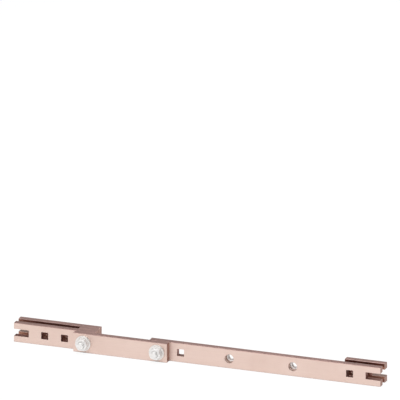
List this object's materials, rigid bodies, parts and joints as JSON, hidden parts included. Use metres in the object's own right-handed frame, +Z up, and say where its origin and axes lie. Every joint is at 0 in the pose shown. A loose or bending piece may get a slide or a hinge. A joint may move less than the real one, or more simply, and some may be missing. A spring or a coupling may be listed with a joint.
{
  "type": "bus bar",
  "caption": "Copper bus bar standing on edge: a long drilled flat bar bolted through a lapped link to a doubled fork end with open slots, and a slotted clamp plate behind the other end",
  "frame": {"origin": "Below the middle of the whole set's length and depth, on the surface that the bars stand on", "axes": "+X along the bars from the fork end to the clamp end, +Y from the nut side to the back, +Z up across the bars' height"},
  "size_m": [0.583, 0.06, 0.03],
  "materials": {
    "copper": null,
    "zinc_steel": "bright zinc plating"
  },
  "bodies": {
    "root": {"main_bar": "copper", "link_bar": "copper", "fork_front_plate": "copper", "fork_rear_plate": "copper", "fork_spacer": "copper", "clamp_plate": "copper", "clamp_spacer": "copper", "terminal_nut_left": "zinc_steel", "terminal_nut_right": "zinc_steel", "fork_bolt": "zinc_steel", "fork_washer": "zinc_steel", "fork_nut": "zinc_steel", "link_bolt": "zinc_steel", "link_washer": "zinc_steel", "link_nut": "zinc_steel"}
  },
  "joints": []
}
